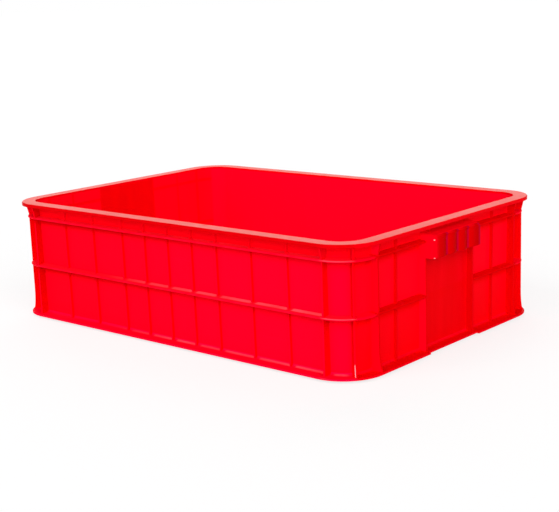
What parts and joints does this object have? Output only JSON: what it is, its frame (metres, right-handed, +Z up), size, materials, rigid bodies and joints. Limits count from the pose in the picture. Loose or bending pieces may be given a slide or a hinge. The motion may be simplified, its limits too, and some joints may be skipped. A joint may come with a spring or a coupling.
{
  "type": "stacking harvest crate",
  "caption": "Shallow solid-walled stacking harvest crate in red plastic, with rib rings and upright blades outside, a flanged rim, a base flange and a hooded finger grip on each end.",
  "frame": {"origin": "centre of the crate's footprint, on the ground plane under the stacking foot", "axes": "+X along the length towards one handle, +Y across the width, +Z up"},
  "size_m": [0.619, 0.42, 0.163],
  "materials": {
    "moulded_red": "moulded, satin",
    "gloss_red": "moulded, polished by handling"
  },
  "bodies": {
    "root": {"front_wall": "moulded_red", "rear_wall": "moulded_red", "right_end_wall": "moulded_red", "left_end_wall": "moulded_red", "front_right_corner_wall": "moulded_red", "rear_right_corner_wall": "moulded_red", "front_left_corner_wall": "moulded_red", "rear_left_corner_wall": "moulded_red", "floor_panel": "moulded_red", "stacking_foot": "moulded_red", "floor_long_ribs": "moulded_red", "floor_cross_ribs": "moulded_red", "top_rim": "gloss_red", "base_flange": "moulded_red", "right_handle_hood": "gloss_red", "left_handle_hood": "gloss_red", "right_handle_cheeks": "moulded_red", "left_handle_cheeks": "moulded_red", "right_end_blades": "moulded_red", "left_end_blades": "moulded_red", "right_hood_blades": "moulded_red", "left_hood_blades": "moulded_red", "front_upper_rib": "moulded_red", "rear_upper_rib": "moulded_red", "front_mid_rib": "moulded_red", "rear_mid_rib": "moulded_red", "front_wall_blades": "moulded_red", "rear_wall_blades": "moulded_red", "front_right_corner_blades": "moulded_red", "rear_right_corner_blades": "moulded_red", "front_left_corner_blades": "moulded_red", "rear_left_corner_blades": "moulded_red"}
  },
  "joints": []
}
